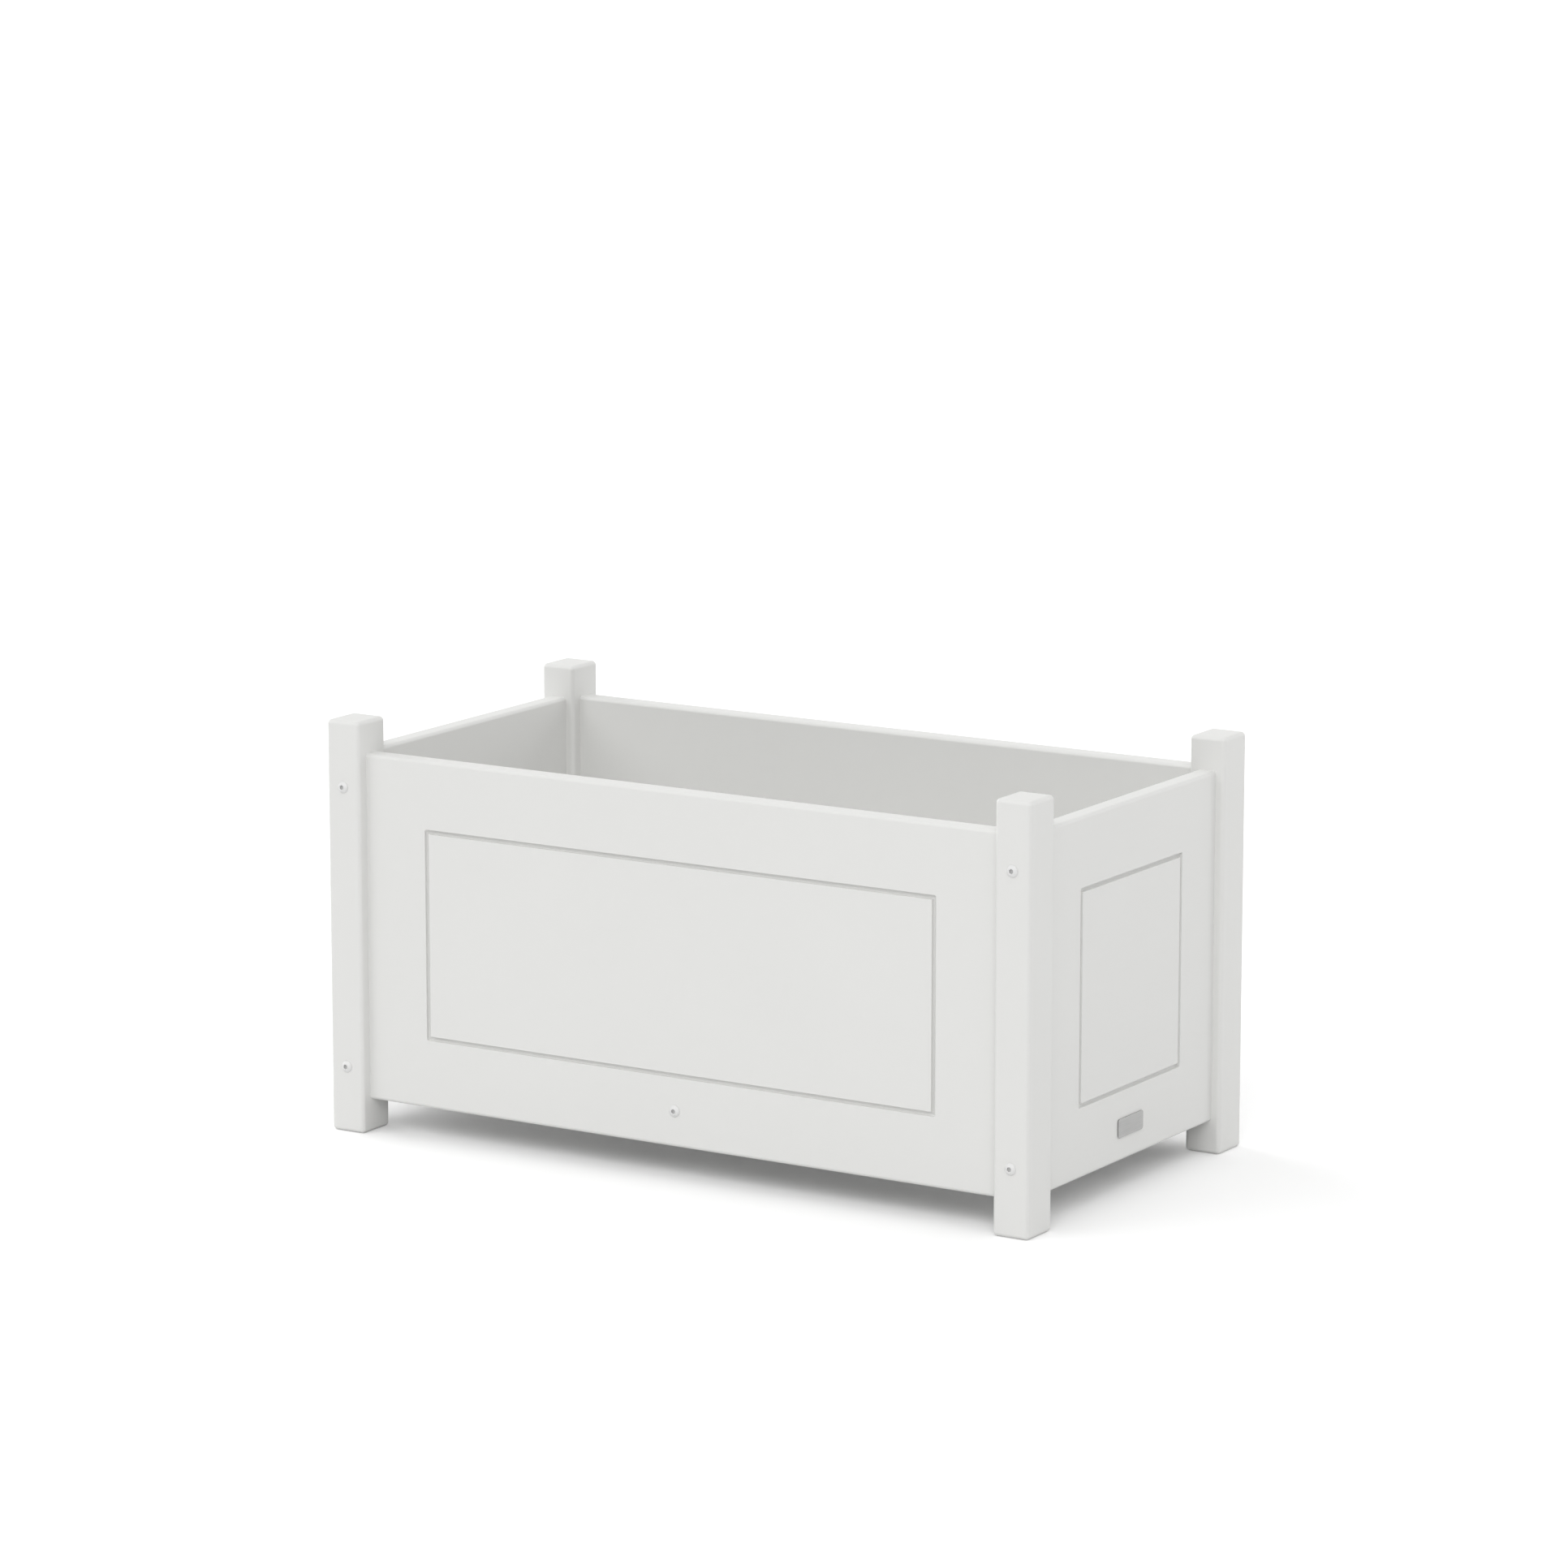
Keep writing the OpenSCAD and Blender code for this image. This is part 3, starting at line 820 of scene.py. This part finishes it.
bolt_sizes = {
    "Head Diameter": 11.1, "Head Height": 3.35, "Rim Height": 0.6, "Socket Width": 3.97,
    "Socket Depth": 2.1, "Shank Diameter": 6.35, "Shank Length": POST_D + BOLT_REACH,
    "Thread Length": 26.0, "Thread Depth": 0.75, "Pitch": 1.27,
}
bolt_tree = bolt_rule()
post_bolt_seats = [
    ((sx * mid_x, sy * DEPTH / 2, z), (0, sy, 0)) for sx, sy in corners.values() for z in bolt_z
]
finished(
    grown("post_bolts", bolt_tree, bolt_sizes, post_bolt_seats), bolt_paint, "bolt_white",
    *(f"post_bolts_{place}" for place in corners),
)
brace_bolt_seats = [((0, sy * (in_y + PANEL_T), brace_z), (0, sy, 0)) for sy in (-1, 1)]
brace_bolt_sizes = {**bolt_sizes, "Shank Length": PANEL_T + BOLT_REACH}
finished(
    grown("panel_bolts", bolt_tree, brace_bolt_sizes, brace_bolt_seats), bolt_paint, "bolt_white",
    "brace_bolts",
)

# %% [markdown]
# ## Threaded inserts
#
# Plastic boards hold a machine thread badly, so a brass insert is screwed into each end of a
# panel and of the brace. Outside it has a coarse thread that bites the board, inside a bore for
# the bolt. A section that starts at the bore's mouth and goes all the way round needs no caps.

# %% Make the inserts
def insert_rule():
    rule = Rule(
        "Threaded insert", ["Diameter", "Length", "Bore", "Chamfer", "Thread Depth", "Pitch"]
    )
    given = rule.given
    outer = rule.times(given["Diameter"], 0.5)
    bore = rule.times(given["Bore"], 0.5)
    chamfer = given["Chamfer"]
    bottom = rule.times(given["Length"], -1.0)
    low, high = rule.add(bottom, chamfer), rule.times(chamfer, -1.0)
    section = [
        (bore, high),
        (rule.add(bore, chamfer), 0.0),
        (rule.less(outer, chamfer), 0.0),
        (outer, high),
        (outer, low, 60),
        (rule.less(outer, chamfer), bottom),
        (rule.add(bore, chamfer), bottom),
        (bore, low),
        (bore, high),
    ]
    skin = rule.turned(section, 36)
    skin = rule.thread(skin, outer, given["Thread Depth"], given["Pitch"], low, high)
    return rule.seated(skin, brass)


insert_sizes = {
    "Diameter": 11.0, "Length": INSERT_DEPTH, "Bore": 6.55, "Chamfer": 0.6,
    "Thread Depth": 0.9, "Pitch": 2.5,
}
insert_tree = insert_rule()
insert_seats = [
    ((sx * mid_x, sy * post_y, z), (0, sy, 0)) for sx, sy in corners.values() for z in bolt_z
]
finished(
    grown("panel_inserts", insert_tree, insert_sizes, insert_seats), brass, "insert_brass",
    *(f"inserts_{place}" for place in corners),
)
brace_seats = [((0, sy * in_y, brace_z), (0, sy, 0)) for sy in (-1, 1)]
finished(
    grown("brace_end_inserts", insert_tree, insert_sizes, brace_seats), brass, "insert_brass",
    "brace_inserts",
)

# %% [markdown]
# ## Dowels
#
# Three fluted dowels locate each end of a long panel in its post. Flutes let trapped air out when
# the pin goes in. Half of each pin lies in the post, so its seat is the joint between post and
# panel.

# %% Make the dowels
FLUTES = 16.0


def dowel_rule():
    rule = Rule("Fluted dowel", ["Diameter", "Length", "Chamfer", "Flute Depth"])
    given = rule.given
    radius = rule.times(given["Diameter"], 0.5)
    top = rule.times(given["Length"], 0.5)
    chamfer = given["Chamfer"]
    section = [
        (0.0, top),
        (rule.less(radius, chamfer), top),
        (radius, rule.less(top, chamfer)),
        (radius, rule.less(chamfer, top)),
        (rule.less(radius, chamfer), rule.times(top, -1.0)),
        (0.0, rule.times(top, -1.0)),
    ]
    skin = rule.turned(section, 96)
    at, angle, _ = rule.polar()
    outer_skin = rule.math("GREATER_THAN", at, rule.less(radius, rule.times(chamfer, 0.5)))
    wave = rule.math("MAXIMUM", rule.math("COSINE", rule.times(angle, FLUTES)), 0.0)
    cut = rule.times(rule.over(given["Flute Depth"], radius), wave)
    skin = rule.scaled(skin, outer_skin, rule.less(1.0, cut))
    return rule.seated(skin, dowel_plastic, 50.0)


dowel_seats = [
    ((sx * post_x, sy * mid_y, z), (sx, 0, 0)) for sx, sy in corners.values() for z in dowel_z
]
dowel_sizes = {"Diameter": 9.5, "Length": 50.0, "Chamfer": 0.8, "Flute Depth": 0.35}
finished(
    grown("dowel_pins", dowel_rule(), dowel_sizes, dowel_seats), dowel_plastic, "dowel_plastic",
    *(f"dowels_{place}" for place in corners),
)

# %% [markdown]
# ## Countersunk screws
#
# The slats are screwed down to the brace and the cleats, and the cleats to the end panels. Each
# screw has a flat head with a square drive, so it sits flush in its countersink.

# %% Make the screws
DRIVE_EASE, DRIVE_DIP = 0.00015, 0.0003
PLAIN_SHARE = 0.3


def screw_rule():
    sizes = [
        "Head Diameter", "Rim", "Drive Width", "Drive Depth", "Shank Diameter",
        "Length", "Point", "Thread Depth", "Pitch",
    ]
    rule = Rule("Countersunk screw", sizes)
    given = rule.given
    head_r = rule.times(given["Head Diameter"], 0.5)
    shank_r = rule.times(given["Shank Diameter"], 0.5)
    corner_r = rule.times(given["Drive Width"], math.sqrt(0.5))
    floor_z = rule.times(given["Drive Depth"], -1.0)
    rim_z = rule.times(given["Rim"], -1.0)
    neck_z = rule.less(rule.less(rim_z, head_r), rule.times(shank_r, -1.0))
    tip_z = rule.times(given["Length"], -1.0)
    point_z = rule.add(tip_z, given["Point"])
    thread_top = rule.times(given["Length"], -PLAIN_SHARE)
    section = [
        (0.0, rule.less(floor_z, DRIVE_DIP)),
        (corner_r, floor_z),
        (corner_r, -DRIVE_EASE),
        (rule.add(corner_r, DRIVE_EASE), 0.0),
        (head_r, 0.0),
        (head_r, rim_z),
        (shank_r, neck_z),
        (shank_r, thread_top),
        (shank_r, point_z, 42),
        (0.0, tip_z, 6),
    ]
    skin = rule.turned(section, 24)
    skin = rule.flats(skin, 4, corner_r, rule.times(given["Drive Depth"], -1.5))
    skin = rule.thread(skin, shank_r, given["Thread Depth"], given["Pitch"], point_z, thread_top)
    return rule.seated(skin, steel)


screw_sizes = {
    "Head Diameter": 8.2, "Rim": 0.3, "Drive Width": 2.6, "Drive Depth": 1.6,
    "Shank Diameter": 4.2, "Length": 31.0, "Point": 4.0, "Thread Depth": 0.7, "Pitch": 1.8,
}
screw_tree = screw_rule()
slat_w = (2 * in_y - (SLATS + 1) * SLAT_GAP) / SLATS
slat_screw_seats = []
for slat in range(SLATS):
    slat_y = -in_y + SLAT_GAP + slat_w / 2 + slat * (slat_w + SLAT_GAP)
    for x in (-cleat_x, 0.0, cleat_x):
        for side in (-1, 1):
            y = slat_y + side * (slat_w / 2 - SLAT_SCREW_MARGIN)
            slat_screw_seats.append(((x, y, floor_top), (0, 0, 1)))
finished(
    grown("floor_screws", screw_tree, screw_sizes, slat_screw_seats), steel, "screw_steel",
    *(f"slat_screws_{place}" for place in ("left", "centre", "right")),
)
cleat_screw_seats = [
    ((sx * (in_x - CLEAT_T), y, cleat_z), (-sx, 0, 0)) for sx in (-1, 1) for y in cleat_screw_y
]
finished(
    grown("cleat_face_screws", screw_tree, screw_sizes, cleat_screw_seats), steel, "screw_steel",
    "cleat_screws_left", "cleat_screws_right",
)

# %% [markdown]
# ## The slatted floor
#
# Four slats lie across the brace and the cleats with gaps that let water out. A slat is a section
# with round corners, drawn out along a line. Geometry Nodes copy it across the box, and one
# Boolean takes out the countersinks and the notches that let the outer slats pass the posts.

# %% Make the slatted floor
SINK_R, SCREW_HOLE_R = 0.0042, 0.0022
SINK_RIM, SCREW_HOLE_END, SINK_TOP = -0.0003, -0.03, 0.001
NOTCH_CUT = 0.04


def floor_rule():
    sizes = [
        "Length", "Width", "Thickness", "Edge Radius", "Gap",
        "First Y", "Middle Z", "Notch X", "Notch Y",
    ]
    rule = Rule("Slatted floor", sizes)
    given = rule.given
    section = rule.node(
        "GeometryNodeCurvePrimitiveQuadrilateral",
        {"Width": given["Width"], "Height": given["Thickness"]},
    )
    section = rule.node(
        "GeometryNodeFilletCurve",
        {"Curve": section, "Count": 8, "Radius": given["Edge Radius"]},
        mode="POLY",
    )
    half = rule.times(given["Length"], 0.5)
    start = rule.vector(rule.times(half, -1.0), 0.0, 0.0)
    end = rule.vector(half, 0.0, 0.0)
    run = rule.node("GeometryNodeCurvePrimitiveLine", {"Start": start, "End": end})
    slat = rule.node(
        "GeometryNodeCurveToMesh", {"Curve": run, "Profile Curve": section, "Fill Caps": True}
    )
    first = rule.vector(0.0, given["First Y"], given["Middle Z"])
    step = rule.vector(0.0, rule.add(given["Width"], given["Gap"]), 0.0)
    row = rule.node(
        "GeometryNodeMeshLine", {"Count": SLATS, "Start Location": first, "Offset": step}
    )
    slats = rule.node("GeometryNodeInstanceOnPoints", {"Points": row, "Instance": slat})
    slats = rule.node("GeometryNodeRealizeInstances", {"Geometry": slats})

    sink = [
        (0.0, SINK_TOP),
        (SINK_R, SINK_TOP),
        (SINK_R, SINK_RIM),
        (SCREW_HOLE_R, SINK_RIM - SINK_R + SCREW_HOLE_R),
        (SCREW_HOLE_R, SCREW_HOLE_END),
        (0.0, SCREW_HOLE_END),
    ]
    sinks = rule.node(
        "GeometryNodeInstanceOnPoints",
        {"Points": given["Seats"], "Instance": rule.turned(sink, 48)},
    )
    cube = rule.node("GeometryNodeMeshCube", {"Size": (NOTCH_CUT,) * 3})
    span = {
        "Size X": rule.add(rule.times(given["Notch X"], 2.0), NOTCH_CUT),
        "Size Y": rule.add(rule.times(given["Notch Y"], 2.0), NOTCH_CUT),
        "Vertices X": 2,
        "Vertices Y": 2,
    }
    post_places = rule.node("GeometryNodeMeshGrid", span)
    raised = rule.vector(0.0, 0.0, given["Middle Z"])
    post_places = rule.node("GeometryNodeSetPosition", {"Geometry": post_places, "Offset": raised})
    notches = rule.node("GeometryNodeInstanceOnPoints", {"Points": post_places, "Instance": cube})
    cutters = rule.node("GeometryNodeJoinGeometry", {"Geometry": [sinks, notches]})
    cutters = rule.node("GeometryNodeRealizeInstances", {"Geometry": cutters})
    cut = rule.node(
        "GeometryNodeMeshBoolean",
        {"Mesh 1": slats, "Mesh 2": cutters},
        operation="DIFFERENCE",
        solver="MANIFOLD",
    )
    coat = {"Geometry": cut, "Material": boards["x"]}
    return rule.done(rule.node("GeometryNodeSetMaterial", coat))


floor_sizes = {
    "Length": 2 * (in_x - SLAT_END_GAP), "Width": slat_w, "Thickness": SLAT_T,
    "Edge Radius": PANEL_EASE, "Gap": SLAT_GAP,
    "First Y": -in_y + SLAT_GAP + slat_w / 2, "Middle Z": floor_seat + SLAT_T / 2,
    "Notch X": post_x - NOTCH_GAP, "Notch Y": post_y - NOTCH_GAP,
}
finished(
    shaded(grown("slatted_floor", floor_rule(), floor_sizes, slat_screw_seats)), boards["x"],
    "board_white", *(f"floor_slat_{row}" for row in ("front", "mid_front", "mid_back", "back")),
)

# %% [markdown]
# ## The bare plate
#
# A small metal plate sits low on the right end panel, on a thin foam pad. It is left blank. It is
# a thin board with a hair of rounding on its rim, which gives it a bright edge.

# %% Make the plate
PLATE_L, PLATE_H, PLATE_T = 46.0, 17.5, 0.8
PLATE_CORNER, PLATE_EASE = 2.5, 0.2
PLATE_RISE, PAD_T = 31.0, 0.5

rings = [
    (PLATE_L - 2 * inset, PLATE_H - 2 * inset, PLATE_CORNER - inset, level)
    for inset, level in rim(PLATE_T, PLATE_EASE, ROUND)
]
plate_centre = (mid_x + PANEL_T / 2 + PAD_T + PLATE_T / 2, 0.0, LIFT + PLATE_RISE)
plate = as_object("blank_plate", stack(rings, ROUND, towards(1, 0), plate_centre))
finished(shaded(plate), plate_metal, "plate_metal", "plate")

# %% [markdown]
# ## CAD nodes that stay
#
# The brace, the cleats and the pad are exact already and hardly show, so the CAD meshes stay and
# only take on a finish. Their grain runs along Y, as their length does.

# %% Finish the CAD nodes that stay
for name in ("cross_brace", "floor_cleat_left", "floor_cleat_right"):
    nodes[name].material_slots[0].material = boards["y"]
nodes["plate_pad"].material_slots[0].material = pad_foam
kept = [name for name, node in nodes.items() if not node.hide_render]
print("CAD nodes that stay:", kept)

# %% [markdown]
# ## Floor and light
#
# The floor is pale and matt. It gives off just enough of its own towards the camera to reach
# white where nothing shades it, so the planter's shadow stays on it, while the light on the
# planter stays at a plain level.

# %% Floor
FLOOR_REACH = 60.0
FLOOR_BOUNCE, FLOOR_SEEN, FLOOR_GLOW = 0.86, 1.0, 0.06


def ray_share(tree):
    """One for rays from the camera or by way of gloss or glass, nothing for the rest."""
    path = tree.nodes.new("ShaderNodeLightPath")
    share = path.outputs["Is Camera Ray"]
    for other in ("Is Glossy Ray", "Is Transmission Ray"):
        either = tree.nodes.new("ShaderNodeMath")
        either.operation = "MAXIMUM"
        tree.links.new(share, either.inputs[0])
        tree.links.new(path.outputs[other], either.inputs[1])
        share = either.outputs[0]
    return share


def matt(tree, tone):
    shader = tree.nodes.new("ShaderNodeBsdfDiffuse")
    shader.inputs["Color"].default_value = (tone, tone, tone, 1.0)
    return shader


floor_mesh = bmesh.new()
bmesh.ops.create_grid(floor_mesh, x_segments=8, y_segments=8, size=FLOOR_REACH)
floor = as_object("studio_floor", floor_mesh)
floor_finish = bpy.data.materials.new("pale_floor")
floor_finish.use_nodes = True
tree = floor_finish.node_tree
tree.nodes.clear()
glow = tree.nodes.new("ShaderNodeEmission")
glow.inputs["Strength"].default_value = FLOOR_GLOW
seen = tree.nodes.new("ShaderNodeAddShader")
tree.links.new(matt(tree, FLOOR_SEEN).outputs[0], seen.inputs[0])
tree.links.new(glow.outputs[0], seen.inputs[1])
mix = tree.nodes.new("ShaderNodeMixShader")
tree.links.new(ray_share(tree), mix.inputs["Fac"])
tree.links.new(matt(tree, FLOOR_BOUNCE).outputs[0], mix.inputs[1])
tree.links.new(seen.outputs[0], mix.inputs[2])
surface = tree.nodes.new("ShaderNodeOutputMaterial")
tree.links.new(mix.outputs[0], surface.inputs["Surface"])
floor.data.materials.append(floor_finish)
print(f"the floor glows at {FLOOR_GLOW} towards the camera")

# %% [markdown]
# The world is white to the camera and in reflections. As a lamp it is graded like a studio's
# ceiling, dim at the horizon and brightest overhead. Four wide suns stand in for soft windows:
# one low on the left, two in front and one low behind the right end.

# %% World and lamps
SKY_AT_HORIZON, SKY_OVERHEAD = 0.25, 0.92
WINDOW_SPREAD = 35.0
WINDOWS = {  # azimuth (0 shines from the front, 90 from the right), elevation and strength
    "left_window": (-105.0, 15.0, 1.1),
    "front_left_window": (-35.0, 35.0, 0.5),
    "front_right_window": (30.0, 35.0, 0.86),
    "back_window": (140.0, 15.0, 0.48),
}

world = bpy.data.worlds.new("studio")
bpy.context.scene.world = world
world.use_nodes = True
tree = world.node_tree
tree.nodes.clear()
lamp = tree.nodes.new("ShaderNodeBackground")
lamp.inputs["Color"].default_value = (1.0, 1.0, 1.0, 1.0)
towards_sky = tree.nodes.new("ShaderNodeTexCoord")
height = tree.nodes.new("ShaderNodeSeparateXYZ")
sky = tree.nodes.new("ShaderNodeMapRange")
sky.inputs["To Min"].default_value = SKY_AT_HORIZON
sky.inputs["To Max"].default_value = SKY_OVERHEAD
tree.links.new(towards_sky.outputs["Generated"], height.inputs["Vector"])
tree.links.new(height.outputs["Z"], sky.inputs["Value"])
tree.links.new(sky.outputs["Result"], lamp.inputs["Strength"])
white = tree.nodes.new("ShaderNodeBackground")
white.inputs["Color"].default_value = (1.0, 1.0, 1.0, 1.0)
mix = tree.nodes.new("ShaderNodeMixShader")
tree.links.new(ray_share(tree), mix.inputs["Fac"])
tree.links.new(lamp.outputs[0], mix.inputs[1])
tree.links.new(white.outputs[0], mix.inputs[2])
surface = tree.nodes.new("ShaderNodeOutputWorld")
tree.links.new(mix.outputs[0], surface.inputs["Surface"])

for name, (azimuth, elevation, strength) in WINDOWS.items():
    window = bpy.data.lights.new(name, "SUN")
    window.energy = strength
    window.angle = math.radians(WINDOW_SPREAD)
    sun = bpy.data.objects.new(name, window)
    sun.rotation_euler = (math.radians(90.0 - elevation), 0.0, math.radians(azimuth))
    bpy.context.scene.collection.objects.link(sun)
bpy.context.scene.view_settings.view_transform = "Standard"
print("windows:", ", ".join(WINDOWS))
